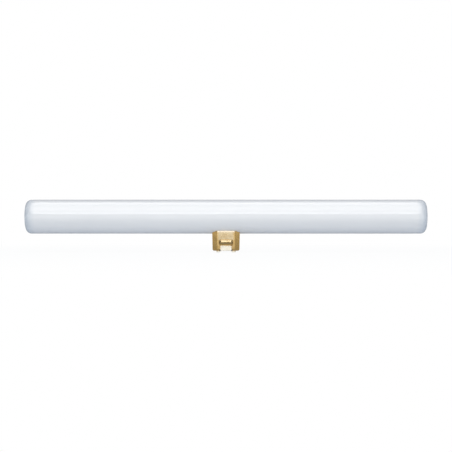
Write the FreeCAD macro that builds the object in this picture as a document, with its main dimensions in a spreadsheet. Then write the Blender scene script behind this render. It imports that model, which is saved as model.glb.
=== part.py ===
import FreeCAD, Part
import math
import os
import Sketcher

# Linear lamp with a two-contact peg cap under its middle.
# The tube lies along X and the cap points down, with +Z up and the front facing -Y.
# The origin is at the middle of the cap, on the plane that its two feet stand on.
# Every length is in millimetres and every angle in degrees.

SIZES = (
    # Opal tube
    ("tube_length", 300.0, "glass tube from pole to pole"),
    ("tube_diameter", 25.4, "outside of the glass"),
    ("tube_underside", 13.8, "height of the glass above the feet"),
    ("dome_radius", 60.0, "shallow crown of each closed end"),
    ("corner_radius", 4.25, "tight round between crown and shoulder"),
    ("shoulder_radius", 20.0, "soft round where the straight tube ends"),
    ("shoulder_length", 6.0, "pole to the start of the straight tube"),
    # Brass contacts
    ("cap_width", 20.0, "across the side walls at the lower edge"),
    ("cap_depth", 14.6, "across the front and rear plates at the lower edge"),
    ("plate_width", 12.9, "flat plate between its two slanted facets"),
    ("flank_depth", 9.6, "across the outer corners of the facets"),
    ("cap_draft", 1.25, "outward draft of every wall towards the tube"),
    ("contact_foot", 1.1, "height of the contacts' lower edge"),
    ("lean_height", 14.9, "height of the bend line on the plates"),
    ("lean_angle", 16.0, "lean of the plates towards the glass"),
    ("sheet", 0.45, "thickness of the brass sheet"),
    ("fold_radius", 0.55, "inside of the upright folds"),
    ("heel_radius", 0.85, "inside of the rolled lower edge"),
    ("contact_gap", 3.0, "between the two contacts at the sides"),
    ("glass_gap", 0.1, "between the contacts and the glass"),
    ("notch_width", 8.4, "open notch in each plate"),
    ("notch_height", 3.85, "lower edge to the top of the notch"),
    ("bead_width", 10.4, "half-round bead above the notch"),
    ("bead_radius", 2.3, "outside of the bead"),
    ("bead_end_radius", 1.5, "rounded ends of the bead"),
    # Insulator
    ("insulator_gap", 0.1, "between the insulator and the sheet"),
    ("foot_width", 3.1, "each foot, along the tube"),
    ("foot_round", 0.3, "rounded edges of the feet"),
    ("web_round", 0.8, "rounded lower edge behind each notch"),
    ("stake_diameter", 1.1, "round stake recess beside each notch"),
    ("stake_depth", 1.4, "depth of the stake recess behind the plate"),
    # Adhesive, wires and solder
    ("bed_thickness", 0.6, "adhesive between glass and insulator"),
    ("wire_diameter", 0.6, "bare lead wire"),
    ("wire_spacing", 3.6, "between the two wires, along the tube"),
    ("wire_setback", 2.0, "middle plane to the wire's exit from the glass"),
    ("wire_height", 11.6, "height of the wire's level run"),
    ("wire_bend", 1.0, "bend of the wire on its centre line"),
    ("wire_clearance", 0.2, "around the wire in the insulator"),
    ("solder_diameter", 2.6, "foot of the solder cone"),
    ("solder_tip", 0.9, "tip of the solder cone"),
    ("solder_height", 0.9, "solder cone along the wire"),
    ("solder_clearance", 0.4, "around the solder in the insulator"),
)

doc = FreeCAD.newDocument("line_lamp")


def make_sizes():
    """Write every driving dimension to the sheet and give it its name."""
    sheet = doc.addObject("Spreadsheet::Sheet", "Sizes")
    for row, (name, value, meaning) in enumerate(SIZES, start=1):
        sheet.set(f"A{row}", name)
        sheet.set(f"B{row}", str(value))
        sheet.set(f"C{row}", meaning)
        sheet.setAlias(f"B{row}", name)
    doc.recompute()
    return sheet


sizes = make_sizes()

# Two places nearer to each other than this count as one.
CLOSE = 0.001

# Places that more than one piece shares, each worked out from the sheet.
TUBE_RADIUS = "(Sizes.tube_diameter / 2)"
TUBE_AXIS = "(Sizes.tube_underside + Sizes.tube_diameter / 2)"
NOTCH_TOP = "(Sizes.contact_foot + Sizes.notch_height)"
BEAD_AXIS = "(Sizes.contact_foot + Sizes.notch_height + Sizes.bead_radius)"

# The blocks are made up into the tube and then hollowed for it.
BLOCK_TOP = "(Sizes.tube_underside + Sizes.tube_diameter / 4)"

# The lower edge of the brass is rolled up to this height.
ROLL_TOP = "(Sizes.contact_foot + Sizes.sheet + Sizes.heel_radius)"

# Each stake bites into the notch's side and the lower edge.
STAKE_ACROSS = "(Sizes.notch_width / 2 + Sizes.stake_diameter / 4)"
STAKE_HEIGHT = "(Sizes.contact_foot + Sizes.stake_diameter / 4)"
WEB_HALF = "(Sizes.notch_width / 2 - Sizes.insulator_gap)"
RIB_WIDTH = "(Sizes.contact_gap - 2 * Sizes.insulator_gap)"
WIRE_ACROSS = "(Sizes.wire_spacing / 2)"
WIRE_BORE = "(Sizes.wire_diameter / 2 + Sizes.wire_clearance)"

# Turn of each facet from the plate beside it.
SLANT = "atan((Sizes.cap_depth - Sizes.flank_depth) / (Sizes.cap_width - Sizes.plate_width))"

# Depths below the cap's outer surface: the brass itself, its inside and the insulator.
OUTSIDE = "0"
INSIDE = "Sizes.sheet"
LINING = "(Sizes.sheet + Sizes.insulator_gap)"


def wall_at(reach, height, depth=OUTSIDE):
    """Distance of a drafted wall from the middle at a height, below the outer surface."""
    rise = f"({height} - Sizes.contact_foot) * tan(Sizes.cap_draft * 1 deg)"
    return f"({reach} / 2 + {rise} - {depth} / cos(Sizes.cap_draft * 1 deg))"


def plate_at(height, depth=OUTSIDE):
    return wall_at("Sizes.cap_depth", height, depth)


def value_of(text):
    """The present value of an expression, as a plain number."""
    result = sizes.evalExpression(text)
    return float(getattr(result, "Value", result))


def new_body(label):
    body = doc.addObject("PartDesign::Body", label)
    body.Label = label
    return body


def origin_feature(body, role):
    return next(item for item in body.Origin.OriginFeatures if item.Role == role)


def new_sketch(body, name, plane, lift=None, height=None):
    """A sketch on one of the body's own planes.

    It is lifted along the plane's normal, and its origin is raised to a height.
    """
    sketch = body.newObject("Sketcher::SketchObject", name)
    sketch.AttachmentSupport = [(origin_feature(body, plane), "")]
    sketch.MapMode = "FlatFace"
    if lift:
        sketch.setExpression("AttachmentOffset.Base.z", lift)
    if height:
        sketch.setExpression("AttachmentOffset.Base.y", height)
    return sketch


def drive(sketch, kind, place, text):
    """A dimension on the sketch whose value is an expression."""
    index = sketch.addConstraint(Sketcher.Constraint(kind, *place, value_of(text)))
    sketch.setExpression(f"Constraints[{index}]", text)


def hold_point(sketch, geometry, end, across, up):
    """Hold one point of a sketch at two distances from the sketch's origin."""
    for kind, text, axis in (("DistanceX", across, -2), ("DistanceY", up, -1)):
        if text is None:
            sketch.addConstraint(Sketcher.Constraint("PointOnObject", geometry, end, axis))
        else:
            drive(sketch, kind, (-1, 1, geometry, end), text)


def draw_outline(sketch, corners):
    """A closed outline of straight edges through corners given as expressions."""
    points = [FreeCAD.Vector(value_of(across), value_of(up), 0) for across, up in corners]
    following = points[1:] + points[:1]
    edges = [
        sketch.addGeometry(Part.LineSegment(start, end), False)
        for start, end in zip(points, following)
    ]
    for edge, previous, (across, up) in zip(edges, edges[-1:] + edges[:-1], corners):
        sketch.addConstraint(Sketcher.Constraint("Coincident", previous, 2, edge, 1))
        hold_point(sketch, edge, 1, across, up)


def draw_box(sketch, left, right, low, high):
    draw_outline(sketch, [(left, low), (right, low), (right, high), (left, high)])


def draw_flared(sketch, low_reach, low, high_reach, high):
    """A symmetric outline whose half width grows from one height to another."""
    right = [(low_reach, low), (high_reach, high)]
    left = [(f"-{high_reach}", high), (f"-{low_reach}", low)]
    draw_outline(sketch, right + left)


def draw_circle(sketch, across, up, radius):
    """A circle given by expressions; None puts its centre on that axis."""
    centre = FreeCAD.Vector(value_of(across or "0"), value_of(up or "0"), 0)
    circle = Part.Circle(centre, FreeCAD.Vector(0, 0, 1), value_of(radius))
    geometry = sketch.addGeometry(circle, False)
    drive(sketch, "Radius", (geometry,), radius)
    hold_point(sketch, geometry, 3, across, up)


def feature(body, kind, name, **settings):
    """Add one feature and make sure that it changes the body's volume."""
    before = body.Tip.Shape.Volume if body.Tip else 0.0
    item = body.newObject(f"PartDesign::{kind}", name)
    for key, setting in settings.items():
        setattr(item, key, setting)
    doc.recompute()
    if abs(item.Shape.Volume - before) < CLOSE:
        raise RuntimeError(f"{body.Label}: {name} changes nothing")
    return item


def extrude(body, kind, name, profile, length, **settings):
    """A pad or pocket whose length is an expression."""
    item = feature(body, kind, name, Profile=profile, Length=value_of(length), **settings)
    item.setExpression("Length", length)
    doc.recompute()
    return item


def round_off(body, name, base, edges, radius):
    """Round edges of a feature by a radius that is an expression."""
    fillet = feature(body, "Fillet", name, Base=(base, edges), Radius=value_of(radius))
    fillet.setExpression("Radius", radius)
    doc.recompute()
    return fillet


def cut_through(body, sketch, name, side="Symmetric"):
    """Cut a sketch through the whole body."""
    return feature(body, "Pocket", name, Profile=sketch, Type="ThroughAll", SideType=side)


def cut_saddle(body, radius):
    """Hollow the top of the body for the tube that lies across it."""
    sketch = new_sketch(body, "SaddleSection", "YZ_Plane")
    draw_circle(sketch, None, TUBE_AXIS, radius)
    return cut_through(body, sketch, "Saddle")


def edges_of(item, test):
    """Names of the edges of a feature whose middle and direction pass a test."""
    names = []
    for number, edge in enumerate(item.Shape.Edges, start=1):
        middle = edge.valueAt((edge.FirstParameter + edge.LastParameter) / 2)
        if test(edge, middle):
            names.append(f"Edge{number}")
    return names


def faces_of(item, test):
    """Names of the faces of a feature that pass a test."""
    return [f"Face{number}" for number, face in enumerate(item.Shape.Faces, start=1) if test(face)]


def rises(edge):
    """True where an edge runs more upwards than sideways."""
    box = edge.BoundBox
    return box.ZLength > math.hypot(box.XLength, box.YLength)


def arc_about(centre, radius, low, high):
    """An arc about a centre, from a low angle to a high one, in degrees."""
    circle = Part.Circle(centre, FreeCAD.Vector(0, 0, 1), radius)
    return Part.ArcOfCircle(circle, math.radians(low), math.radians(high))


def nested_centre(first, first_radius, second, second_radius, radius):
    """Centre of a circle that touches two larger circles from inside, at their right."""
    reach_first = first_radius - radius
    reach_second = second_radius - radius
    span = second - first
    along = (reach_first ** 2 - reach_second ** 2 + span.Length ** 2) / (2 * span.Length)
    aside = math.sqrt(reach_first ** 2 - along ** 2)
    direction = FreeCAD.Vector(span).normalize()
    normal = FreeCAD.Vector(-direction.y, direction.x, 0)
    options = [first + direction * along + normal * aside * sign for sign in (1, -1)]
    return max(options, key=lambda point: point.x)


def bearing(start, end):
    """Angle of the line from one point to another, in degrees."""
    return math.degrees(math.atan2(end.y - start.y, end.x - start.x))


def draw_tube_section(sketch):
    """Half the tube's section: a straight wall and three tangent arcs at each end."""
    half_length = sizes.tube_length / 2
    radius = sizes.tube_diameter / 2
    straight = half_length - sizes.shoulder_length
    shoulder = FreeCAD.Vector(straight, radius - sizes.shoulder_radius, 0)
    dome = FreeCAD.Vector(half_length - sizes.dome_radius, 0, 0)
    corner = nested_centre(
        shoulder, sizes.shoulder_radius, dome, sizes.dome_radius, sizes.corner_radius
    )
    arcs = (
        (shoulder, "shoulder_radius", bearing(shoulder, corner), 90),
        (corner, "corner_radius", bearing(dome, corner), bearing(shoulder, corner)),
        (dome, "dome_radius", 0, bearing(dome, corner)),
    )
    wall_start = FreeCAD.Vector(-straight, radius, 0)
    wall_end = FreeCAD.Vector(straight, radius, 0)
    wall = sketch.addGeometry(Part.LineSegment(wall_start, wall_end), False)
    poles = []
    for side in (1, -1):
        joined = (wall, 2 if side > 0 else 1)
        near, far = (2, 1) if side > 0 else (1, 2)
        for centre, size, low, high in arcs:
            centre = FreeCAD.Vector(side * centre.x, centre.y, 0)
            span = (low, high) if side > 0 else (180 - high, 180 - low)
            arc = sketch.addGeometry(arc_about(centre, getattr(sizes, size), *span), False)
            sketch.addConstraint(Sketcher.Constraint("Tangent", *joined, arc, near))
            drive(sketch, "Radius", (arc,), f"Sizes.{size}")
            joined = (arc, far)
        sketch.addConstraint(Sketcher.Constraint("PointOnObject", arc, 3, -1))
        hold_point(sketch, arc, far, f"{side} * Sizes.tube_length / 2", None)
        poles.append((arc, far))
    pole = FreeCAD.Vector(half_length, 0, 0)
    axis = sketch.addGeometry(Part.LineSegment(pole, -pole), False)
    for end, (arc, far) in enumerate(poles, start=1):
        sketch.addConstraint(Sketcher.Constraint("Coincident", axis, end, arc, far))
    sketch.addConstraint(Sketcher.Constraint("Horizontal", wall))
    drive(sketch, "DistanceY", (-1, 1, wall, 2), TUBE_RADIUS)
    for end, side in ((1, -1), (2, 1)):
        reach = f"{side} * (Sizes.tube_length / 2 - Sizes.shoulder_length)"
        drive(sketch, "DistanceX", (-1, 1, wall, end), reach)


def make_tube():
    """The opal tube: one sealed solid, turned about its own axis."""
    body = new_body("opal_tube")
    body.setExpression("Placement.Base.z", TUBE_AXIS)
    sketch = new_sketch(body, "HalfSection", "XZ_Plane")
    draw_tube_section(sketch)
    feature(body, "Revolution", "Turned", Profile=sketch, ReferenceAxis=(sketch, ["H_Axis"]))
    return body


def plate_end_at(inset):
    """Half the plate's width at the contacts' lower edge, drawn in by an inset."""
    return f"(Sizes.plate_width / 2 - {inset} * tan({SLANT} / 2))"


def cap_plan(inset):
    """Outline of the cap at the contacts' lower edge, drawn in by an inset."""
    side = f"(Sizes.cap_width / 2 - {inset})"
    flank = f"(Sizes.flank_depth / 2 - {inset} * tan((90 deg - {SLANT}) / 2))"
    plate_end = plate_end_at(inset)
    plate = f"(Sizes.cap_depth / 2 - {inset})"
    right = [(side, f"-{flank}"), (side, flank), (plate_end, plate)]
    left = [(f"-{across}", up) for across, up in right]
    return [(plate_end, f"-{plate}")] + right + left[::-1] + [(f"-{plate_end}", f"-{plate}")]


def make_block(body, depth):
    """Drafted block of the cap's plan, at a depth below the cap's outer surface."""
    foot = f"(Sizes.contact_foot + {depth})"
    draft_angle = "(Sizes.cap_draft * 1 deg)"
    inset = f"({depth} / cos({draft_angle}) - {depth} * tan({draft_angle}))"
    plan = new_sketch(body, "CapPlan", "XY_Plane", foot)
    draw_outline(plan, cap_plan(inset))
    block = extrude(body, "Pad", "Block", plan, f"{BLOCK_TOP} - {foot}")
    base = faces_of(block, lambda face: face.CenterOfMass.z < value_of(foot) + CLOSE)
    walls = faces_of(block, lambda face: face.BoundBox.ZLength > CLOSE)
    draft = body.newObject("PartDesign::Draft", "Draft")
    draft.Base = (block, walls)
    draft.NeutralPlane = (block, base)
    draft.Reversed = True
    draft.setExpression("Angle", "Sizes.cap_draft")
    doc.recompute()
    return draft


def lean_plates(body, depth, sides=("-", "")):
    """Cut the upper part of the plates so that it leans towards the glass."""
    turn = "(Sizes.lean_angle + Sizes.cap_draft) * 1 deg"
    start = f"(Sizes.lean_height - {depth} * tan({turn} / 2))"
    lean = f"({BLOCK_TOP} - {start}) * tan(Sizes.lean_angle * 1 deg)"
    low = plate_at(start, depth)
    outer = f"({low} + Sizes.cap_depth)"
    corners = [(low, start), (outer, start), (outer, BLOCK_TOP), (f"({low} - {lean})", BLOCK_TOP)]

    section = new_sketch(body, "LeanSection", "YZ_Plane")
    for side in sides:
        draw_outline(section, [(f"{side}{across}", up) for across, up in corners])
    return cut_through(body, section, "Lean")


def round_folds(body, base, depth):
    """Round the upright folds between plates, facets and side walls."""
    gap = sizes.contact_gap / 2
    folds = edges_of(base, lambda edge, middle: rises(edge) and abs(middle.y) > gap + CLOSE)
    return round_off(body, "Folds", base, folds, f"Sizes.fold_radius + Sizes.sheet - {depth}")


def round_heel(body, base, depth, behind=math.inf):
    """Roll the lower edge of the block, as far as a plane behind it."""
    level = value_of(f"Sizes.contact_foot + {depth}")
    heel = edges_of(
        base, lambda edge, middle: abs(middle.z - level) < CLOSE and middle.y < behind - CLOSE
    )
    return round_off(body, "Heel", base, heel, f"Sizes.heel_radius + Sizes.sheet - {depth}")


def draw_bead_section(sketch, half_width, radius, end_radius):
    """Half section of the bead: a bar with rounded ends, on its own axis."""
    width, high, end = value_of(half_width), value_of(radius), value_of(end_radius)
    corners = [(-width, 0), (-width, high - end), (-width + end, high)]
    corners += [(-across, up) for across, up in reversed(corners)]
    points = [FreeCAD.Vector(across, up, 0) for across, up in corners]
    centre = FreeCAD.Vector(width - end, high - end, 0)
    left_centre = FreeCAD.Vector(-centre.x, centre.y, 0)
    left = sketch.addGeometry(Part.LineSegment(points[0], points[1]), False)
    left_arc = sketch.addGeometry(arc_about(left_centre, end, 90, 180), False)
    top = sketch.addGeometry(Part.LineSegment(points[2], points[3]), False)
    right_arc = sketch.addGeometry(arc_about(centre, end, 0, 90), False)
    right = sketch.addGeometry(Part.LineSegment(points[4], points[5]), False)
    base = sketch.addGeometry(Part.LineSegment(points[5], points[0]), False)
    for first, first_end, second, second_end in (
        (left, 2, left_arc, 2),
        (left_arc, 1, top, 1),
        (top, 2, right_arc, 2),
        (right_arc, 1, right, 1),
    ):
        sketch.addConstraint(Sketcher.Constraint("Tangent", first, first_end, second, second_end))
    sketch.addConstraint(Sketcher.Constraint("Coincident", right, 2, base, 1))
    sketch.addConstraint(Sketcher.Constraint("Coincident", base, 2, left, 1))
    sketch.addConstraint(Sketcher.Constraint("Horizontal", top))
    hold_point(sketch, left, 1, f"-{half_width}", None)
    hold_point(sketch, right, 2, half_width, None)
    drive(sketch, "DistanceY", (-1, 1, top, 1), radius)
    for arc in (left_arc, right_arc):
        drive(sketch, "Radius", (arc,), end_radius)


def press_bead(body):
    """Press the half-round bead outwards above the notch, hollow behind."""
    for kind, name, depth in (("Revolution", "Bead", OUTSIDE), ("Groove", "BeadHollow", INSIDE)):
        face = plate_at(BEAD_AXIS, INSIDE)
        section = new_sketch(body, f"{name}Section", "XZ_Plane", face, BEAD_AXIS)
        draw_bead_section(
            section,
            f"(Sizes.bead_width / 2 - {depth})",
            f"(Sizes.bead_radius - {depth})",
            f"(Sizes.bead_end_radius - {depth})",
        )
        feature(body, kind, name, Profile=section, ReferenceAxis=(section, ["H_Axis"]), Angle=180)


def make_contact(label, turn):
    """One contact: a drawn and folded half shell with its notch and pressed bead."""
    body = new_body(label)
    make_block(body, OUTSIDE)
    behind = new_sketch(body, "BehindPlan", "XY_Plane", BLOCK_TOP)
    parting = "-Sizes.contact_gap / 2"
    draw_box(behind, "-Sizes.cap_width", "Sizes.cap_width", parting, "Sizes.cap_depth")
    cut_through(body, behind, "FrontHalf", "One side")
    leaning = lean_plates(body, OUTSIDE, ("-",))
    round_folds(body, leaning, OUTSIDE)
    saddle = cut_saddle(body, f"({TUBE_RADIUS} + Sizes.glass_gap)")
    round_heel(body, saddle, OUTSIDE, value_of(parting))

    hollow = new_body(f"{label}_hollow")
    make_block(hollow, INSIDE)
    leaning = lean_plates(hollow, INSIDE)
    folded = round_folds(hollow, leaning, INSIDE)
    round_heel(hollow, folded, INSIDE)
    shell = body.newObject("PartDesign::Boolean", "Hollow")
    shell.Type = "Cut"
    shell.setObjects([hollow])
    doc.recompute()

    opening = new_sketch(body, "FootOpening", "XY_Plane")
    draw_outline(opening, cap_plan("(Sizes.heel_radius + Sizes.sheet)"))
    extrude(body, "Pocket", "Mouth", opening, ROLL_TOP, Reversed=True)

    press_bead(body)

    notch = new_sketch(body, "NotchSection", "XZ_Plane", "Sizes.cap_depth")
    draw_box(notch, "-Sizes.notch_width / 2", "Sizes.notch_width / 2", "-Sizes.sheet", NOTCH_TOP)
    cut_through(body, notch, "Notch", "One side")
    stakes = new_sketch(body, "StakeCentres", "XZ_Plane", "Sizes.cap_depth")
    for side in ("-", ""):
        draw_circle(stakes, f"{side}{STAKE_ACROSS}", STAKE_HEIGHT, "Sizes.stake_diameter / 2")
    cut_through(body, stakes, "Stakes", "One side")
    body.Placement.Rotation = FreeCAD.Rotation(FreeCAD.Vector(0, 0, 1), turn)
    return body


def make_lined_block(body):
    """What fills the contacts: the lined block with a rib between them at each side."""
    make_block(body, LINING)
    leaning = lean_plates(body, LINING)
    folded = round_folds(body, leaning, LINING)
    round_heel(body, folded, LINING)
    rib = new_sketch(body, "RibSection", "XZ_Plane")
    low_reach = wall_at("Sizes.cap_width", "Sizes.contact_foot")
    draw_flared(
        rib, low_reach, "Sizes.contact_foot", wall_at("Sizes.cap_width", BLOCK_TOP), BLOCK_TOP
    )
    ribs = extrude(body, "Pad", "Ribs", rib, RIB_WIDTH, SideType="Symmetric")
    corners = low_edges(ribs, "x", value_of(low_reach))
    round_off(body, "RibHeel", ribs, corners, "Sizes.heel_radius + Sizes.sheet")


def low_edges(item, axis, reach):
    """Edges at the contacts' lower edge, at a distance from the middle along an axis."""

    def at_reach(edge, middle):
        aside = abs(abs(getattr(middle, axis)) - reach)
        return aside < CLOSE and abs(middle.z - sizes.contact_foot) < CLOSE

    return edges_of(item, at_reach)


def wire_reach():
    """Where the wires and the solder stop, just clear of the drafted plate's inside."""
    return plate_at("(Sizes.wire_height - Sizes.solder_diameter / 2)", INSIDE)


def wire_route(body, name):
    """The front wire's centre line: down from the glass, round a bend, to the plate."""
    route = new_sketch(body, name, "YZ_Plane", f"-{WIRE_ACROSS}")
    bend = sizes.wire_bend
    exit_place = -sizes.wire_setback
    start = value_of(TUBE_AXIS)
    top = FreeCAD.Vector(exit_place, start, 0)
    bend_start = FreeCAD.Vector(exit_place, sizes.wire_height + bend, 0)
    bend_end = FreeCAD.Vector(exit_place - bend, sizes.wire_height, 0)
    centre = FreeCAD.Vector(exit_place - bend, sizes.wire_height + bend, 0)
    tip = FreeCAD.Vector(-value_of(wire_reach()), sizes.wire_height, 0)
    down = route.addGeometry(Part.LineSegment(top, bend_start), False)
    arc = route.addGeometry(arc_about(centre, bend, 270, 360), False)
    level = route.addGeometry(Part.LineSegment(bend_end, tip), False)
    route.addConstraint(Sketcher.Constraint("Tangent", down, 2, arc, 2))
    route.addConstraint(Sketcher.Constraint("Tangent", arc, 1, level, 1))
    route.addConstraint(Sketcher.Constraint("Vertical", down))
    drive(route, "Radius", (arc,), "Sizes.wire_bend")
    hold_point(route, down, 1, "-Sizes.wire_setback", TUBE_AXIS)
    hold_point(route, level, 2, f"-{wire_reach()}", "Sizes.wire_height")
    route.addConstraint(Sketcher.Constraint("Horizontal", level))
    return route


def sweep_wire(body, kind, name, radius):
    """Sweep a round section along the front wire's centre line."""
    route = wire_route(body, f"{name}Route")
    section = new_sketch(body, f"{name}Section", "XY_Plane", TUBE_AXIS)
    draw_circle(section, f"-{WIRE_ACROSS}", "-Sizes.wire_setback", radius)
    return feature(body, kind, name, Profile=section, Spine=(route, []))


def repeat_behind(body, originals, name):
    """Repeat features of the front half at the rear, turned half round."""
    pattern = body.newObject("PartDesign::PolarPattern", name)
    pattern.Originals = originals
    pattern.Axis = (origin_feature(body, "Z_Axis"), [""])
    pattern.Angle = 360
    pattern.Occurrences = 2
    body.Tip = pattern
    doc.recompute()
    return pattern


def make_insulator():
    """The moulded insulator: lined block, ribs, webs behind the notches, feet, passages."""
    body = new_body("cap_insulator")
    make_lined_block(body)
    cut_saddle(body, f"({TUBE_RADIUS} + Sizes.bed_thickness)")
    add_webs(body)
    add_feet(body)
    cut_passages(body)
    return body


def add_webs(body):
    """The block's wall stands proud behind each notch and is rounded below."""
    web = new_sketch(body, "WebSection", "YZ_Plane")
    low_reach = plate_at("Sizes.contact_foot", LINING)
    draw_flared(web, low_reach, "Sizes.contact_foot", plate_at(NOTCH_TOP, LINING), NOTCH_TOP)
    webs = extrude(body, "Pad", "Webs", web, f"2 * {WEB_HALF}", SideType="Symmetric")
    corners = low_edges(webs, "y", value_of(low_reach))
    round_off(body, "WebRound", webs, corners, "Sizes.web_round")


def add_feet(body):
    """Two feet below the brass, one each side of the notches."""
    feet = new_sketch(body, "FeetPlan", "XY_Plane")
    inset = "(Sizes.heel_radius + Sizes.sheet + Sizes.insulator_gap)"
    front = f"(Sizes.cap_depth / 2 - {inset})"
    outer = f"({WEB_HALF} + Sizes.foot_width)"
    bend = plate_end_at(inset)
    side = f"({front} - ({outer} - {bend}) * tan({SLANT}))"
    behind = [(WEB_HALF, front), (bend, front), (outer, side)]
    outline = behind + [(across, f"-{up}") for across, up in reversed(behind)]
    draw_outline(feet, outline)
    draw_outline(feet, [(f"-{across}", up) for across, up in outline])
    stand = extrude(body, "Pad", "Feet", feet, ROLL_TOP)
    soles = edges_of(stand, lambda edge, middle: abs(middle.z) < CLOSE)
    round_off(body, "FeetRound", stand, soles, "Sizes.foot_round")


def cut_passages(body):
    """Room for the wires, the solder and the stakes, the same at front and rear."""
    passage = sweep_wire(body, "SubtractivePipe", "WirePassage", WIRE_BORE)
    front = plate_at("Sizes.wire_height")
    recess = new_sketch(body, "SolderRecessSection", "XZ_Plane", front)
    radius = "(Sizes.solder_diameter / 2 + Sizes.solder_clearance)"
    draw_circle(recess, f"-{WIRE_ACROSS}", "Sizes.wire_height", radius)
    depth = f"{LINING} + Sizes.solder_height + Sizes.solder_clearance"
    solder_room = extrude(body, "Pocket", "SolderRecess", recess, depth)
    stakes = new_sketch(body, "StakeCentres", "XZ_Plane", front)
    for side in ("-", ""):
        draw_circle(stakes, f"{side}{STAKE_ACROSS}", STAKE_HEIGHT, "Sizes.stake_diameter / 2")
    depth = f"Sizes.heel_radius + {LINING} + Sizes.stake_depth"
    dimples = extrude(body, "Pocket", "Stakes", stakes, depth)
    repeat_behind(body, [passage, solder_room, dimples], "RearPassages")


def make_bed():
    """The adhesive bed: the part of the lined block between glass and insulator."""
    body = new_body("adhesive_bed")
    make_lined_block(body)
    cut_saddle(body, TUBE_RADIUS)
    below = new_sketch(body, "BelowSection", "YZ_Plane")
    aside = "Sizes.tube_diameter"
    draw_box(below, f"-{aside}", aside, "-Sizes.sheet", f"2 * {TUBE_AXIS}")
    draw_circle(below, None, TUBE_AXIS, f"({TUBE_RADIUS} + Sizes.bed_thickness)")
    cut_through(body, below, "Below")
    holes = new_sketch(body, "WireHoles", "XY_Plane")
    for side in ("", "-"):
        draw_circle(holes, f"{side}{WIRE_ACROSS}", f"{side}Sizes.wire_setback", WIRE_BORE)
    cut_through(body, holes, "WireHolesCut")
    return body


def make_wire(label, turn):
    """A lead wire from the glass to the inside of one contact."""
    body = new_body(label)
    sweep_wire(body, "AdditivePipe", "Wire", "Sizes.wire_diameter / 2")
    cut_saddle(body, TUBE_RADIUS)
    body.Placement.Rotation = FreeCAD.Rotation(FreeCAD.Vector(0, 0, 1), turn)
    return body


def make_solder(label, turn):
    """The solder cone around the end of a lead wire, against the contact's inside."""
    body = new_body(label)
    section = new_sketch(body, "ConeSection", "YZ_Plane", f"-{WIRE_ACROSS}", "Sizes.wire_height")
    plate = wire_reach()
    tip = f"({plate} - Sizes.solder_height)"
    bore = "Sizes.wire_diameter / 2"
    along_wire = [(f"-{plate}", bore), (f"-{tip}", bore)]
    cone = [(f"-{tip}", "Sizes.solder_tip / 2"), (f"-{plate}", "Sizes.solder_diameter / 2")]
    draw_outline(section, along_wire + cone)
    feature(body, "Revolution", "Cone", Profile=section, ReferenceAxis=(section, ["H_Axis"]))
    body.Placement.Rotation = FreeCAD.Rotation(FreeCAD.Vector(0, 0, 1), turn)
    return body


def make_lamp():
    """Every piece of the lamp, each a solid of its own."""
    pieces = [make_tube(), make_insulator(), make_bed()]
    for name, turn in (("front", 0), ("rear", 180)):
        pieces.append(make_contact(f"{name}_contact", turn))
        pieces.append(make_wire(f"{name}_lead_wire", turn))
        pieces.append(make_solder(f"{name}_solder_joint", turn))
    return pieces


def check(pieces):
    """Stop if any object of the document failed or any piece isn't one sound solid."""
    doc.recompute()
    for item in doc.Objects:
        if {"Invalid", "Error"} & set(item.State):
            raise RuntimeError(f"{item.Label} is {item.State}")
    for piece in pieces:
        shape = piece.Shape
        if shape.isNull() or not shape.isValid() or len(shape.Solids) != 1:
            raise RuntimeError(f"{piece.Label} isn't one valid solid")


def export(pieces):
    """Write each piece to a file with its own name."""
    os.makedirs("parts", exist_ok=True)
    for piece in pieces:
        piece.Shape.exportStep(f"parts/{piece.Label}.step")


lamp = make_lamp()
check(lamp)
export(lamp)
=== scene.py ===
"""Line lamp: an opal glass tube with a brass contact cap under its middle.

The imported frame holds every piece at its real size. This script gives each piece its finish,
models the glass finely enough for its reflections, and sets up the studio.
"""

import math

import bmesh
import bpy
from bpy.props import FloatProperty, FloatVectorProperty, IntProperty, PointerProperty
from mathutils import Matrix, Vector
from mathutils.geometry import intersect_sphere_sphere_2d


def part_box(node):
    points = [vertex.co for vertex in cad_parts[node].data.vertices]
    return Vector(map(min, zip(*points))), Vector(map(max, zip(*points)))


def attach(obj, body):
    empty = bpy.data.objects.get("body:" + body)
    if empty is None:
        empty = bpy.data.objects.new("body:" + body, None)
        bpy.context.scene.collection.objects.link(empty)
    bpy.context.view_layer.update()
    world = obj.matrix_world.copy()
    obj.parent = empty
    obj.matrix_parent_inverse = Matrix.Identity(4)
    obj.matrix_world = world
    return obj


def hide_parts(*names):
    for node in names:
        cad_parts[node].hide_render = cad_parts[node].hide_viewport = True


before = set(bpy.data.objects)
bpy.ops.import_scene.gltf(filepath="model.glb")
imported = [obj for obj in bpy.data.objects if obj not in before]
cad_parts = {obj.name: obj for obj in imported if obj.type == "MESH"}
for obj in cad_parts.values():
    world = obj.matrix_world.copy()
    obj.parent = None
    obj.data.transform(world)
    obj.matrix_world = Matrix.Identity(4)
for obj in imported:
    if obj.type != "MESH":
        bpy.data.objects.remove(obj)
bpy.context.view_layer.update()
TUBE_LOW, TUBE_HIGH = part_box("opal_tube")

bl_info = {
    "name": "Line lamp",
    "version": (1, 0, 0),
    "blender": (4, 5, 0),
    "location": "3D View > Sidebar > Lamp",
    "description": "Opal glass line lamp with a brass contact cap, dressed for a studio picture",
    "category": "Object",
}

CONTACTS = ("front_contact", "rear_contact")
WIRES = ("front_lead_wire", "rear_lead_wire")
JOINTS = ("front_solder_joint", "rear_solder_joint")

BLACK = (0.0, 0.0, 0.0)
WHITE = (1.0, 1.0, 1.0)


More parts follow.
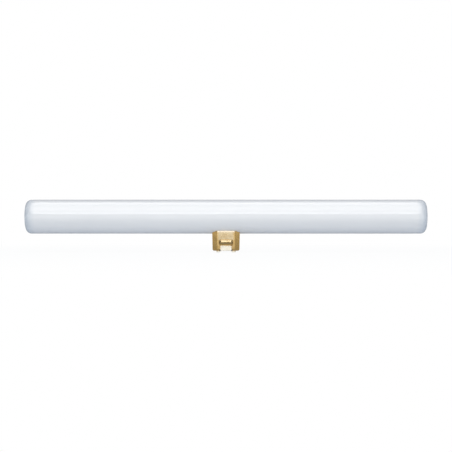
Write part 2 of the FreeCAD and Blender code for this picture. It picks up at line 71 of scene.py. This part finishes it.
class TubeShape(bpy.types.PropertyGroup):
    """Form of the opal glass tube."""

    length: FloatProperty(
        name="Length",
        description="From pole to pole",
        default=TUBE_HIGH.x - TUBE_LOW.x,
        unit="LENGTH",
    )
    radius: FloatProperty(
        name="Radius",
        description="Outside of the glass",
        default=(TUBE_HIGH.z - TUBE_LOW.z) / 2,
        unit="LENGTH",
    )
    height: FloatProperty(
        name="Height",
        description="Height of the tube's axis above the cap's feet",
        default=(TUBE_HIGH.z + TUBE_LOW.z) / 2,
        unit="LENGTH",
    )
    dome_radius: FloatProperty(
        name="Dome", description="Shallow crown of each end", default=0.06, unit="LENGTH"
    )
    corner_radius: FloatProperty(
        name="Corner",
        description="Tight round between crown and shoulder",
        default=0.00425,
        unit="LENGTH",
    )
    shoulder_radius: FloatProperty(
        name="Shoulder",
        description="Soft round where the straight tube ends",
        default=0.02,
        unit="LENGTH",
    )
    shoulder_length: FloatProperty(
        name="Shoulder length",
        description="From the pole to the start of the straight tube",
        default=0.006,
        unit="LENGTH",
    )
    guard_length: FloatProperty(
        name="Guard length",
        description="From the guard ring, which keeps the wall's reflections straight, to the shoulder",
        default=0.0004,
        unit="LENGTH",
    )
    around: IntProperty(
        name="Faces around", description="Faces around the tube", default=144, min=24
    )
    ring_turn: FloatProperty(
        name="Ring turn",
        description="Largest turn of the wall from one ring of an end to the next",
        default=math.radians(2),
        subtype="ANGLE",
    )


class Finishes(bpy.types.PropertyGroup):
    """Colours of the lamp's materials."""

    opal: FloatVectorProperty(
        name="Opal",
        description="Coated glass in full light",
        subtype="COLOR",
        default=(0.705, 0.722, 0.755),
    )
    opal_thin: FloatVectorProperty(
        name="Thin opal",
        description="Glass where its white coat is thinner",
        subtype="COLOR",
        default=(0.685, 0.70, 0.735),
    )
    opal_end: FloatVectorProperty(
        name="End opal",
        description="Glass at the ends, where its white coat runs out",
        subtype="COLOR",
        default=(0.56, 0.60, 0.66),
    )
    brass: FloatVectorProperty(
        name="Brass",
        description="Clean sheet brass",
        subtype="COLOR",
        default=(0.88, 0.715, 0.455),
    )
    # Deeper brass, used for random patches and also as painted shade where the brass faces aside or
    # down or sits low.
    tarnish_and_shade: FloatVectorProperty(
        name="Tarnish",
        description="Brass where it has dulled",
        subtype="COLOR",
        default=(0.86, 0.57, 0.21),
    )
    # Painted shade: brass that faces up, where it leans in to the glass, is painted greyer and darker
    # to tone down the highlight it catches.
    toned_down: FloatVectorProperty(
        name="Worn brass",
        description="Brass where it leans in to the glass, greyed by handling",
        subtype="COLOR",
        default=(0.62, 0.53, 0.40),
    )
    # Painted shade: brown painted into the brass's creases and on the lower half and the ends of the
    # bead.
    painted_shade: FloatVectorProperty(
        name="Grime",
        description="Brown film in the creases of the brass and on the lower half of the bead",
        subtype="COLOR",
        default=(0.40, 0.28, 0.13),
    )
    ivory: FloatVectorProperty(
        name="Ivory",
        description="Moulded insulator",
        subtype="COLOR",
        default=(0.97, 0.93, 0.85),
    )
    # Painted shade: dark colour painted deep in the insulator's small recesses.
    recess_shade: FloatVectorProperty(
        name="Soot",
        description="Dark deposit deep in the insulator's small recesses",
        subtype="COLOR",
        default=(0.20, 0.18, 0.18),
    )
    adhesive: FloatVectorProperty(
        name="Adhesive",
        description="Cast bed between glass and cap",
        subtype="COLOR",
        default=(0.80, 0.80, 0.77),
    )
    tin: FloatVectorProperty(
        name="Tin",
        description="Tinned wire and solder",
        subtype="COLOR",
        default=(0.72, 0.72, 0.70),
    )


class Studio(bpy.types.PropertyGroup):
    """Camera, floor and light."""

    camera_distance: FloatProperty(
        name="Camera distance",
        description="From the camera to the tube's middle plane",
        default=1.0,
        unit="LENGTH",
    )
    camera_height: FloatProperty(
        name="Camera height",
        description="Height of the level line of sight above the floor",
        default=0.01951,
        unit="LENGTH",
    )
    view_angle: FloatProperty(
        name="View angle",
        description="Across the picture's width",
        default=math.radians(19.17),
        subtype="ANGLE",
    )
    floor_size: FloatProperty(
        name="Floor", description="Side of the square floor", default=12.0, unit="LENGTH"
    )
    floor_colour: FloatVectorProperty(
        name="Floor colour", description="Pale floor", subtype="COLOR", default=(0.76, 0.80, 0.86)
    )
    floor_lift: FloatProperty(
        name="Floor lift",
        description="Share of plain white in the floor that the camera sees",
        default=0.94,
        subtype="FACTOR",
    )
    # Its darkness near the lamp is a painted shadow in what metal and glass mirror.
    floor_near: FloatProperty(
        name="Near floor",
        description="Brightness of the mirrored floor close to the lamp",
        default=0.38,
        subtype="FACTOR",
    )
    floor_far: FloatProperty(
        name="Far floor",
        description="Brightness of the mirrored floor well before and behind the lamp",
        default=1.0,
        subtype="FACTOR",
    )
    ambient: FloatVectorProperty(
        name="Ambient",
        description="Light from all round",
        subtype="COLOR",
        default=(0.27, 0.39, 0.50),
    )
    side_level: FloatProperty(
        name="Side level",
        description="Brightness of the studio's sides beside its front and back",
        default=0.3,
        subtype="FACTOR",
    )
    wall_level: FloatProperty(
        name="Wall level",
        description="Brightness of the room's walls in the lamp's reflections",
        default=1.0,
        subtype="FACTOR",
    )
    softbox_light: FloatProperty(
        name="Mirrored softbox",
        description="Brightness of the softbox that the lamp mirrors",
        default=5.3,
    )
    key_light: FloatVectorProperty(
        name="Key light",
        description="Brightness of the softbox just above the camera",
        subtype="COLOR",
        default=(3.98, 3.63, 3.01),
        max=50.0,
    )
    top_light: FloatVectorProperty(
        name="Top light",
        description="Brightness of the softbox high above the lamp",
        subtype="COLOR",
        default=(2.36, 2.11, 1.95),
        max=50.0,
    )
    back_light: FloatVectorProperty(
        name="Back light",
        description="Brightness of the softbox behind the lamp",
        subtype="COLOR",
        default=(11.0, 10.0, 8.4),
        max=50.0,
    )


class Link:
    """One output of a node tree, so that shader maths is written as an expression."""

    def __init__(self, graph, socket):
        self.graph = graph
        self.socket = socket

    def combine(self, operation, first, second):
        return self.graph.node("ShaderNodeMath", {0: first, 1: second}, operation=operation)

    def __add__(self, other):
        return self.combine("ADD", self, other)

    def __radd__(self, other):
        return self.combine("ADD", other, self)

    def __sub__(self, other):
        return self.combine("SUBTRACT", self, other)

    def __rsub__(self, other):
        return self.combine("SUBTRACT", other, self)

    def __mul__(self, other):
        return self.combine("MULTIPLY", self, other)

    def __rmul__(self, other):
        return self.combine("MULTIPLY", other, self)

    def larger(self, other):
        return self.combine("MAXIMUM", self, other)

    def size(self):
        return self.graph.node("ShaderNodeMath", {0: self}, operation="ABSOLUTE")


class Graph:
    """The node tree of a material or of the world, while it is built."""

    def __init__(self, owner):
        owner.use_nodes = True
        self.owner = owner
        self.tree = owner.node_tree
        self.tree.nodes.clear()

    def node(self, kind, inputs=None, output=0, stops=None, **settings):
        """Add a node, set it up, then give each of its sockets a value or a link."""
        item = self.tree.nodes.new(kind)
        for name, setting in settings.items():
            setattr(item, name, setting)
        if stops:
            ramp = item.color_ramp
            ramp.elements[0].position, ramp.elements[1].position = stops[0][0], stops[-1][0]
            ramp.elements[0].color, ramp.elements[1].color = stops[0][1], stops[-1][1]
            for place, colour in stops[1:-1]:
                ramp.elements.new(place).color = colour
        for name, value in (inputs or {}).items():
            if isinstance(value, Link):
                self.tree.links.new(value.socket, item.inputs[name])
            else:
                item.inputs[name].default_value = value
        return Link(self, item.outputs[output] if item.outputs else None)

    def place(self, scale=(1, 1, 1)):
        """Object coordinates in metres, multiplied by a scale along each axis."""
        coordinates = self.node("ShaderNodeTexCoord", output="Object")
        return self.node("ShaderNodeMapping", {"Vector": coordinates, "Scale": scale})

    def parts(self, vector, axes):
        """Parts of a vector along some axes."""
        return [self.node("ShaderNodeSeparateXYZ", {"Vector": vector}, axis) for axis in axes]

    def facing(self):
        """Outward direction of the surface."""
        return self.node("ShaderNodeTexCoord", output="Normal")

    def openness(self, reach):
        """How open the surface is to its surroundings within a reach in metres."""
        inputs = {"Distance": reach}
        return self.node("ShaderNodeAmbientOcclusion", inputs, "AO", only_local=True, samples=16)

    def rays(self):
        """Whether a ray is what the camera sees, also through glass, and whether it is mirrored."""
        camera, through, mirrored = (
            self.node("ShaderNodeLightPath", output=f"Is {kind} Ray")
            for kind in ("Camera", "Transmission", "Glossy")
        )
        return camera.larger(through), mirrored

    def noise(self, place, scale, detail=2.0, roughness=0.5):
        """A cloudy pattern whose values lie between 0 and 1."""
        inputs = {"Vector": place, "Scale": scale, "Detail": detail, "Roughness": roughness}
        return self.node("ShaderNodeTexNoise", inputs, "Fac")

    def spread(self, value, low, high, to=(0.0, 1.0)):
        """Stretch a range of a value to another range and hold it there."""
        inputs = {"Value": value, 1: low, 2: high, 3: to[0], 4: to[1]}
        return self.node("ShaderNodeMapRange", inputs)

    def levels(self, half_turns, stops):
        """A level that follows an angle through stops of degrees and levels."""
        colours = [(degrees / 180, (level, level, level, 1.0)) for degrees, level in stops]
        return self.node("ShaderNodeValToRGB", {"Fac": half_turns}, stops=colours)

    def blend(self, factor, first, second):
        """A colour between two colours, or colour links."""
        inputs = {0: factor, 6: full_colour(first), 7: full_colour(second)}
        return self.node("ShaderNodeMix", inputs, 2, data_type="RGBA")

    def bump(self, height, depth):
        """A normal for relief of a depth in metres."""
        return self.node("ShaderNodeBump", {"Height": height, "Distance": depth})

    def surface(self, **sockets):
        """Finish the material with one surface shader; underscores stand for spaces."""
        inputs = {name.replace("_", " "): value for name, value in sockets.items()}
        return self.finish(self.node("ShaderNodeBsdfPrincipled", inputs))

    def finish(self, shader, kind="ShaderNodeOutputMaterial"):
        """End the tree with a shader, and give back the material or world it belongs to."""
        self.node(kind, {"Surface": shader})
        return self.owner


def full_colour(colour):
    """A colour with its alpha, or a link as it is."""
    return colour if isinstance(colour, Link) else (*colour, 1.0)


def turned_down(colour, shares):
    """A colour with each channel reduced to a share of itself."""
    return tuple(channel * share for channel, share in zip(colour, shares))


# Distances along the tube from its middle, in metres: its white coat thins from the first
# and has run out at the second.
COAT_THINS = TUBE_HIGH.x - 0.0085
COAT_ENDS = TUBE_HIGH.x - 0.0032

# Ranges in metres over which the brass's painted light and shade change: sideways at the edges of the
# flat plate, upwards at the top of the bead, and outwards where the bead leaves the plate.
PLATE_EDGE = (0.005, 0.0066)
BEAD_TOP = (0.0085, 0.0095)
BEAD_ROOT = (0.0077, 0.0081)

# How far around it, in metres, a place is searched for walls that make it a crease or a recess, where
# shade is painted in.
CREASE_REACH = 0.002


def opal_glass(colours):
    """Glass tube with a white inner coat: cloudy white under a clear glossy skin."""
    graph = Graph(bpy.data.materials.new("opal_glass"))
    cloud = graph.spread(graph.noise(graph.place(), scale=26, detail=3), 0.35, 0.65)
    drawn = graph.noise(graph.place((0.6, 1, 1)), scale=90)
    ripple = graph.noise(graph.place((0.25, 1, 1)), scale=55, detail=1)
    (along,) = graph.parts(graph.place(), "X")
    end = graph.spread(along.size(), COAT_THINS, COAT_ENDS)
    white = graph.blend(cloud * 0.6 + drawn * 0.4, colours.opal, colours.opal_thin)
    return graph.surface(
        Base_Color=graph.blend(end, white, colours.opal_end),
        Roughness=graph.spread(drawn, 0.3, 0.7, to=(0.02, 0.04)),
        IOR=1.7,
        Normal=graph.bump(ripple, depth=0.000008),
    )


def sheet_brass(colours):
    """Drawn sheet brass: fine upright lines from the die, dimmed in soft patches.

    Its colour also holds painted light and shade. It is painted clean and bright where it faces the
    front, high on the middle of the plate and on the bead, and painted deeper and darker where it
    faces aside or down, towards the plate's edges and low down. Where it faces up and leans in to the
    glass it is painted greyer, which tones down the highlight it catches there, and brown painted
    shade lies in its creases and on the lower half and the ends of the bead.
    """
    graph = Graph(bpy.data.materials.new("sheet_brass"))
    cloud = graph.noise(graph.place(), scale=330, detail=4, roughness=0.6)
    patches = graph.spread(cloud, 0.42, 0.7)
    specks = graph.spread(graph.noise(graph.place(), scale=2600), 0.66, 0.74)
    lines = graph.noise(graph.place((1, 1, 0.06)), scale=5200, detail=3, roughness=0.6)

    aside, up = graph.parts(graph.facing(), "XZ")
    along, across, height = graph.parts(graph.place(), "XYZ")
    frontal = graph.spread(aside.size(), 0.2, 0.45, to=(1.0, 0.0))
    level = graph.spread(up, -0.6, -0.2)
    middle = graph.spread(along.size(), *PLATE_EDGE, to=(1.0, 0.3))
    above = graph.spread(height, *BEAD_TOP, to=(0.3, 1.0))
    bead = graph.spread(across.size(), *BEAD_ROOT)
    # Painted light and shade: bright clean brass where the surface faces the front, high on the middle
    # of the plate or on the bead.
    front_lit = frontal * (level * middle) * above.larger(bead)
    # Random patches and specks, plus painted shade wherever the brass is not painted front-lit.
    tarnished_and_shaded = graph.spread(patches * 0.4 + specks * 0.4 + (1 - front_lit), 0.0, 1.0)

    # Painted shade: brown is painted into the creases, on the lower half of the bead, which faces down,
    # and on the bead's ends.
    creases = graph.spread(graph.openness(CREASE_REACH), 0.5, 0.85, to=(1.0, 0.0))
    below_crown = graph.spread(up, 0.12, 0.5, to=(0.95, 0.15))
    above_belly = graph.spread(up, -0.45, -0.2, to=(0.05, 1.0))
    bead_ends = graph.spread(aside.size(), 0.3, 0.8, to=(0.0, 0.2))
    darkening = (creases * 0.7).larger((below_crown * above_belly).larger(bead_ends) * bead)

    # Painted shade: where the brass faces up and leans in to the glass, away from the bead, it is
    # painted greyer to tone down its highlight.
    leaning = graph.spread(up, 0.15, 0.27) * (1 - bead)
    upright = graph.blend(tarnished_and_shaded, colours.brass, colours.tarnish_and_shade)
    sheet = graph.blend(leaning, upright, colours.toned_down)
    return graph.surface(
        Base_Color=graph.blend(darkening, sheet, colours.painted_shade),
        Metallic=1.0,
        Roughness=graph.spread(lines * 0.6 + patches * 0.4, 0.2, 0.8, to=(0.20, 0.34)),
        Normal=graph.bump(lines, depth=0.000012),
    )


def ivory_plastic(colours):
    """Moulded ivory plastic with a faint satin grain."""
    graph = Graph(bpy.data.materials.new("ivory_plastic"))
    flow = graph.noise(graph.place(), scale=240, detail=3)
    grain = graph.noise(graph.place(), scale=6500)
    warm = turned_down(colours.ivory, (0.97, 0.94, 0.88))
    clean = graph.blend(graph.spread(flow, 0.3, 0.7), colours.ivory, warm)
    # Painted shade: the insulator is painted dark deep in its small recesses.
    recesses = graph.spread(graph.openness(CREASE_REACH), 0.3, 0.6, to=(1.0, 0.0))
    return graph.surface(
        Base_Color=graph.blend(recesses, clean, colours.recess_shade),
        Roughness=graph.spread(grain, 0.3, 0.7, to=(0.42, 0.56)),
        Normal=graph.bump(grain, depth=0.00001),
    )


def cast_adhesive(colours):
    """Cast white adhesive: matt, slightly uneven, with a few small pores."""
    graph = Graph(bpy.data.materials.new("cast_adhesive"))
    lumps = graph.noise(graph.place(), scale=900, detail=3)
    pores = graph.spread(graph.noise(graph.place(), scale=3800, detail=1), 0.68, 0.72)
    shaded = turned_down(colours.adhesive, (0.8, 0.8, 0.8))
    return graph.surface(
        Base_Color=graph.blend(lumps * 0.5 + pores * 0.5, colours.adhesive, shaded),
        Roughness=graph.spread(lumps, 0.3, 0.7, to=(0.6, 0.75)),
        Normal=graph.bump(lumps - pores * 0.4, depth=0.00008),
    )


def tinned(name, colours, stretch, roughness):
    """Tin over copper or solder: soft bright metal, smeared along a direction."""
    graph = Graph(bpy.data.materials.new(name))
    smear = graph.noise(graph.place(stretch), scale=2400, detail=3)
    grey = turned_down(colours.tin, (0.78, 0.78, 0.78))
    return graph.surface(
        Base_Color=graph.blend(graph.spread(smear, 0.35, 0.7), colours.tin, grey),
        Metallic=1.0,
        Roughness=graph.spread(smear, 0.3, 0.7, to=roughness),
        Normal=graph.bump(smear, depth=0.00001),
    )


def coat_node(name, material):
    """Give a node of the frame its finish."""
    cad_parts[name].material_slots[0].material = material


def deselect():
    """Leave nothing selected, in object mode."""
    if bpy.context.object and bpy.context.object.mode != "OBJECT":
        bpy.ops.object.mode_set(mode="OBJECT")
    bpy.ops.object.select_all(action="DESELECT")


# Fewest rings that one arc of the tube's ends gets.
FEWEST_RINGS = 3


def end_rings(shape):
    """Reach and radius of each ring of one end, from the straight wall's end to the pole.

    A shoulder, a tight corner and a shallow dome follow each other as tangent arcs.
    """
    half = shape.length / 2
    shoulder = Vector((half - shape.shoulder_length, shape.radius - shape.shoulder_radius))
    dome = Vector((half - shape.dome_radius, 0))
    crossings = intersect_sphere_sphere_2d(
        shoulder,
        shape.shoulder_radius - shape.corner_radius,
        dome,
        shape.dome_radius - shape.corner_radius,
    )
    corner = max(crossings, key=lambda point: point.x)
    first = bearing(shoulder, corner)
    second = bearing(dome, corner)
    arcs = (
        (shoulder, shape.shoulder_radius, math.pi / 2, first),
        (corner, shape.corner_radius, first, second),
        (dome, shape.dome_radius, second, 0),
    )
    rings = [Vector((shoulder.x, shape.radius))]
    for centre, radius, start, end in arcs:
        steps = max(FEWEST_RINGS, math.ceil((start - end) / shape.ring_turn))
        for step in range(1, steps + 1):
            angle = start + (end - start) * step / steps
            rings.append(centre + radius * Vector((math.cos(angle), math.sin(angle))))
    return rings


def bearing(start, end):
    """Angle of the line from one point to another."""
    return math.atan2(end.y - start.y, end.x - start.x)


def guard_reach(shape):
    """Distance along the tube of the guard ring, just before the shoulder."""
    return shape.length / 2 - shape.shoulder_length - shape.guard_length


def select_end_face(piece, reach):
    """Select only the face whose middle lies at a distance along the tube."""
    mesh = bmesh.from_edit_mesh(piece.data)
    bpy.ops.mesh.select_all(action="DESELECT")
    mesh.faces.ensure_lookup_table()
    face = min(mesh.faces, key=lambda item: abs(item.calc_center_median().x - reach))
    face.select = True
    bmesh.update_edit_mesh(piece.data)


def draw_in_end(piece, shape, side):
    """Close one end of the tube: its face is drawn in ring by ring to the pole."""
    reach, radius = guard_reach(shape), shape.radius
    select_end_face(piece, side * reach)
    for ring in end_rings(shape)[:-1]:
        step = side * (ring.x - reach)
        bpy.ops.mesh.extrude_region_move(TRANSFORM_OT_translate={"value": (step, 0, 0)})
        narrower = ring.y / radius
        bpy.ops.transform.resize(
            value=(1, narrower, narrower), center_override=(side * ring.x, 0, shape.height)
        )
        reach, radius = ring
    step = side * (shape.length / 2 - reach)
    bpy.ops.mesh.extrude_region_move(TRANSFORM_OT_translate={"value": (step, 0, 0)})
    bpy.ops.mesh.merge(type="CENTER")


class LAMP_OT_tube(bpy.types.Operator):
    """Model the opal glass tube with its domed ends"""

    bl_idname = "lamp.tube"
    bl_label = "Opal tube"

    def execute(self, context):
        shape = context.scene.lamp_tube
        deselect()
        bpy.ops.mesh.primitive_cylinder_add(
            vertices=shape.around,
            radius=shape.radius,
            depth=2 * guard_reach(shape),
            location=(0, 0, shape.height),
            rotation=(0, math.pi / 2, 0),
        )
        tube = context.object
        tube.name = "opal_glass_tube"
        bpy.ops.object.transform_apply()
        bpy.ops.object.mode_set(mode="EDIT")
        for side in (1, -1):
            draw_in_end(tube, shape, side)
        bpy.ops.object.mode_set(mode="OBJECT")
        bpy.ops.object.shade_smooth()
        tube.data.materials.append(opal_glass(context.scene.lamp_finishes))
        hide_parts("opal_tube")
        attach(tube, "root")
        return {"FINISHED"}


class LAMP_OT_contacts(bpy.types.Operator):
    """Finish the two brass contacts"""

    bl_idname = "lamp.contacts"
    bl_label = "Brass contacts"

    def execute(self, context):
        brass = sheet_brass(context.scene.lamp_finishes)
        for name in CONTACTS:
            coat_node(name, brass)
        return {"FINISHED"}


class LAMP_OT_insulator(bpy.types.Operator):
    """Finish the moulded insulator"""

    bl_idname = "lamp.insulator"
    bl_label = "Insulator"

    def execute(self, context):
        coat_node("cap_insulator", ivory_plastic(context.scene.lamp_finishes))
        return {"FINISHED"}


class LAMP_OT_joints(bpy.types.Operator):
    """Finish the adhesive bed, the lead wires and the solder"""

    bl_idname = "lamp.joints"
    bl_label = "Adhesive, wires and solder"

    def execute(self, context):
        colours = context.scene.lamp_finishes
        coat_node("adhesive_bed", cast_adhesive(colours))
        wire = tinned("tinned_wire", colours, stretch=(1, 0.1, 0.1), roughness=(0.25, 0.4))
        solder = tinned("solder", colours, stretch=(1, 1, 1), roughness=(0.3, 0.5))
        for name in WIRES:
            coat_node(name, wire)
        for name in JOINTS:
            coat_node(name, solder)
        return {"FINISHED"}


# Ranges in metres: before and behind the lamp, the mirrored floor changes from near to far over
# the first, which paints the lamp's shadow into what metal and glass mirror, and all round the
# lamp the floor changes to plain white over the second.
NEAR_TO_FAR = (0.04, 0.16)
SHADOW_TO_WHITE = (0.15, 0.5)

# Ranges of how far a direction points aside, along the tube, from 0 to 1: the room's sides grow
# dark over the first, and the mirrored softbox ends over the second.
SIDE_FADE = (0.35, 0.95)
SOFTBOX_END = (0.1785, 0.1815)

# What is subtracted from the softbox's end where its corners are drawn in fully.
CORNER_REACH = 0.04

# Levels at elevations in degrees, from the front over the top to the back: brightness of the
# walls, brightness of the mirrored softbox, and how far its ends are drawn in.
WALLS = (
    (0, 0.9), (8, 0.9), (19, 0.4), (35, 0.1), (90, 0.1), (120, 0.3), (150, 0.1), (180, 1.0),
)
SOFTBOX = (
    (19, 0.0), (20, 1.0), (27, 0.29), (50, 0.40), (80, 0.28), (98, 0.4), (111, 0.4), (113, 0.0),
)
CORNERS = (
    (19, 0.96), (22, 0.93), (28, 0.5), (36, 0), (74, 0), (92, 0.6), (102, 0.93), (113, 0.98),
)


def pale_floor(studio):
    """Pale floor that keeps the lamp's shadow and is lifted towards plain white."""
    graph = Graph(bpy.data.materials.new("pale_floor"))
    seen, mirrored = graph.rays()
    (across,) = graph.parts(graph.place(), "Y")
    near_or_far = (studio.floor_near, studio.floor_far)
    # Painted shadow: the floor that metal and glass mirror glows, darker close in front of and behind
    # the lamp.
    brightness = graph.spread(across.size(), *NEAR_TO_FAR, to=near_or_far)
    away = graph.node("ShaderNodeVectorMath", {0: graph.place()}, "Value", operation="LENGTH")
    lift = graph.spread(away, *SHADOW_TO_WHITE, to=(studio.floor_lift, 1.0))
    level = seen.larger(mirrored * brightness)
    pale = graph.node("ShaderNodeBsdfDiffuse", {"Color": full_colour(studio.floor_colour)})
    white = graph.node("ShaderNodeEmission", {"Color": graph.blend(level, BLACK, WHITE)})
    share = (seen * lift).larger(mirrored)
    return graph.finish(graph.node("ShaderNodeMixShader", {0: share, 1: pale, 2: white}))


def light_world(scene, studio):
    """Plain white to the camera, and soft light from all round to the lamp.

    What the lamp mirrors instead are the walls of a room and a softbox with rounded corners.
    """
    scene.world = bpy.data.worlds.new("studio_world")
    graph = Graph(scene.world)
    seen, mirrored = graph.rays()
    direction = graph.node("ShaderNodeTexCoord", output="Generated")
    along, across, up = graph.parts(direction, "XYZ")
    angle = graph.node("ShaderNodeMath", {0: up, 1: 0 - across}, operation="ARCTAN2")
    half_turns = angle * (1 / math.pi)
    aside = along.size()
    sides = graph.spread(aside, *SIDE_FADE, to=(1.0, studio.side_level))
    walls = sides * graph.levels(half_turns, WALLS) * studio.wall_level
    drawn_in = graph.levels(half_turns, CORNERS) * CORNER_REACH
    inside = graph.spread(aside + drawn_in, *SOFTBOX_END, to=(1.0, 0.0))
    softbox = inside * graph.levels(half_turns, SOFTBOX) * studio.softbox_light
    room = (walls + softbox) * mirrored
    inputs = {
        "Color": graph.blend(seen.larger(mirrored), studio.ambient, WHITE),
        "Strength": room.larger(seen).larger(sides * (1 - mirrored)),
    }
    graph.finish(graph.node("ShaderNodeBackground", inputs), "ShaderNodeOutputWorld")


def add_softbox(name, colour, elevation, distance, width, depth):
    """Add a rectangular softbox, turned to the tube, that only lights: nothing mirrors it.

    Its elevation is in degrees, from the camera's side over the top. Its colour also says
    how bright it is, and its power follows from that and its size.
    """
    turn = math.radians(elevation)
    middle = bpy.context.scene.lamp_tube.height
    place = (0, -math.cos(turn) * distance, middle + math.sin(turn) * distance)
    deselect()
    bpy.ops.object.light_add(type="AREA", location=place, rotation=(math.pi / 2 - turn, 0, 0))
    softbox = bpy.context.object
    softbox.name = name
    softbox.data.shape = "RECTANGLE"
    softbox.data.size = width
    softbox.data.size_y = depth
    brightness = max(colour)
    softbox.data.energy = brightness * math.pi * width * depth
    softbox.data.color = [channel / brightness for channel in colour]
    softbox.visible_camera = False
    softbox.visible_glossy = False


class LAMP_OT_stage(bpy.types.Operator):
    """Set up the floor, the light and the camera"""

    bl_idname = "lamp.stage"
    bl_label = "Studio"

    def execute(self, context):
        scene = context.scene
        studio = scene.lamp_studio
        deselect()
        bpy.ops.mesh.primitive_plane_add(size=studio.floor_size)
        floor = context.object
        floor.name = "floor"
        floor.data.materials.append(pale_floor(studio))
        light_world(scene, studio)
        add_softbox("key", studio.key_light, elevation=15, distance=1.5, width=1.2, depth=0.8)
        add_softbox("top", studio.top_light, elevation=70, distance=1.2, width=1.6, depth=0.9)
        add_softbox("back", studio.back_light, elevation=174, distance=1.5, width=0.8, depth=0.3)
        deselect()
        bpy.ops.object.camera_add(
            location=(0, -studio.camera_distance, studio.camera_height),
            rotation=(math.pi / 2, 0, 0),
        )
        scene.camera = context.object
        scene.camera.name = "camera"
        scene.camera.data.angle = studio.view_angle
        scene.view_settings.view_transform = "Standard"
        return {"FINISHED"}


class LAMP_PT_panel(bpy.types.Panel):
    """Everything that makes the lamp, in order"""

    bl_idname = "LAMP_PT_panel"
    bl_label = "Line lamp"
    bl_space_type = "VIEW_3D"
    bl_region_type = "UI"
    bl_category = "Lamp"

    def draw(self, context):
        for operator in OPERATORS:
            self.layout.operator(operator.bl_idname)
        for group in SETTINGS:
            settings = getattr(context.scene, group)
            for name in settings.__annotations__:
                self.layout.prop(settings, name)


OPERATORS = (LAMP_OT_tube, LAMP_OT_contacts, LAMP_OT_insulator, LAMP_OT_joints, LAMP_OT_stage)
SETTINGS = {"lamp_tube": TubeShape, "lamp_finishes": Finishes, "lamp_studio": Studio}


def register():
    for item in (*SETTINGS.values(), *OPERATORS, LAMP_PT_panel):
        bpy.utils.register_class(item)
    for name, group in SETTINGS.items():
        setattr(bpy.types.Scene, name, PointerProperty(type=group))


def unregister():
    for name in SETTINGS:
        delattr(bpy.types.Scene, name)
    for item in (LAMP_PT_panel, *OPERATORS[::-1], *SETTINGS.values()):
        bpy.utils.unregister_class(item)


def main():
    register()
    bpy.ops.lamp.tube()
    bpy.ops.lamp.contacts()
    bpy.ops.lamp.insulator()
    bpy.ops.lamp.joints()
    bpy.ops.lamp.stage()


if __name__ == "__main__":
    main()
